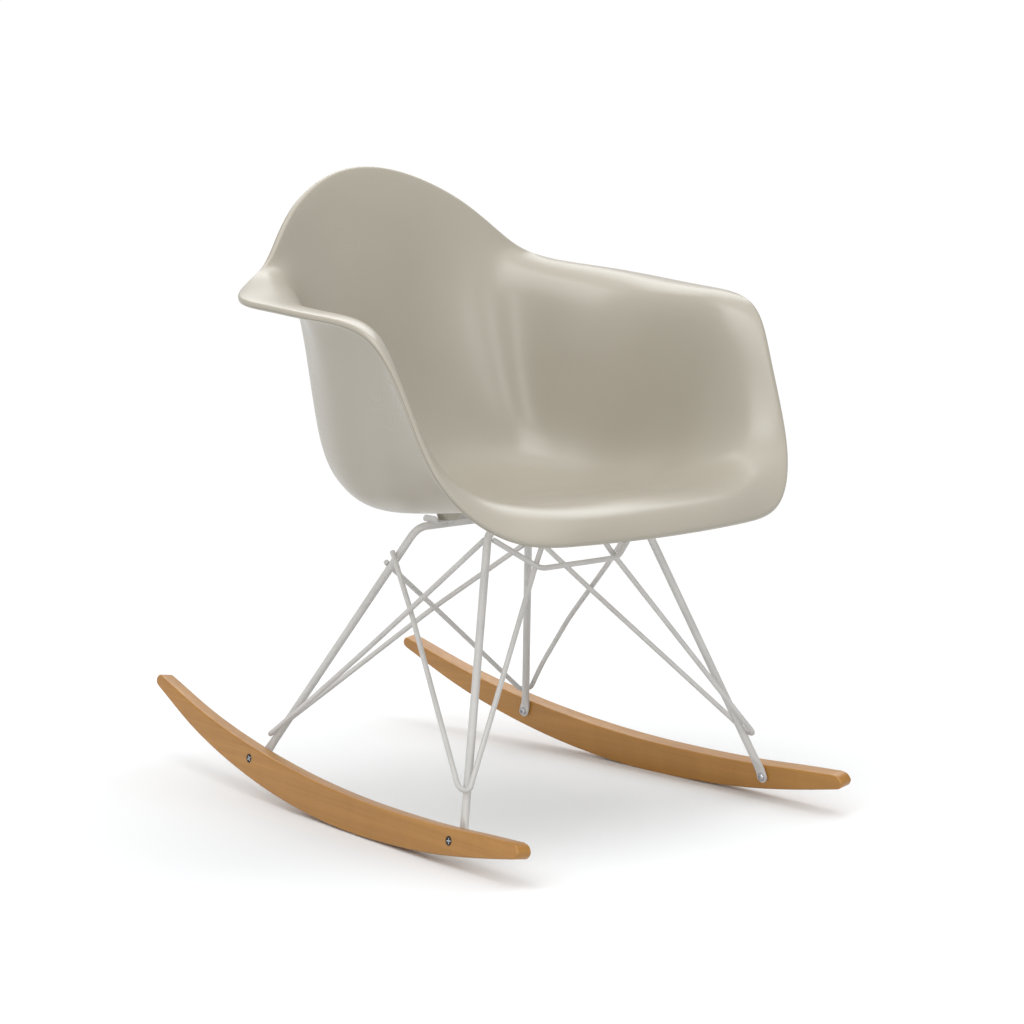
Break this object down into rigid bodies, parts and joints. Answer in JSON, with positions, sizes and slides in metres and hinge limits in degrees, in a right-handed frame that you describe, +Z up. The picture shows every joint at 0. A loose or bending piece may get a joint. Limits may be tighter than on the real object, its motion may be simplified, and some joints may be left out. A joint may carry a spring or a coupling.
{
  "type": "rocking chair",
  "caption": "Rocking armchair with a one-piece moulded seat shell, bent steel rod base with wire cross braces, and curved wooden runners.",
  "frame": {"origin": "on the floor under the middle of the bounding box", "axes": "+Z up; the chair faces -Y; the sitter's left hand is at +X"},
  "size_m": [0.6286, 0.7666, 0.7582],
  "materials": {
    "shell": "satin warm grey moulded plastic",
    "frame_steel": "light grey powder coat",
    "runner_wood": "clear satin lacquer over golden maple",
    "zinc_fasteners": "zinc plated",
    "dark_fasteners": "blackened"
  },
  "bodies": {
    "root": {"seat_shell": "shell", "insert_front_left": "zinc_fasteners", "bracket_front_left": "frame_steel", "bracket_screw_front_left": "zinc_fasteners", "insert_front_right": "zinc_fasteners", "bracket_front_right": "frame_steel", "bracket_screw_front_right": "zinc_fasteners", "insert_rear_left": "zinc_fasteners", "bracket_rear_left": "frame_steel", "bracket_screw_rear_left": "zinc_fasteners", "insert_rear_right": "zinc_fasteners", "bracket_rear_right": "frame_steel", "bracket_screw_rear_right": "zinc_fasteners", "leg_hoop_front": "frame_steel", "leg_hoop_rear": "frame_steel", "front_stretcher": "frame_steel", "front_brace_left": "frame_steel", "rear_brace_left": "frame_steel", "runner_left": "runner_wood", "runner_bolt_front_left": "zinc_fasteners", "sleeve_nut_front_left": "dark_fasteners", "runner_bolt_rear_left": "zinc_fasteners", "sleeve_nut_rear_left": "dark_fasteners", "front_brace_right": "frame_steel", "rear_brace_right": "frame_steel", "runner_right": "runner_wood", "runner_bolt_front_right": "zinc_fasteners", "sleeve_nut_front_right": "dark_fasteners", "runner_bolt_rear_right": "zinc_fasteners", "sleeve_nut_rear_right": "dark_fasteners"}
  },
  "joints": []
}
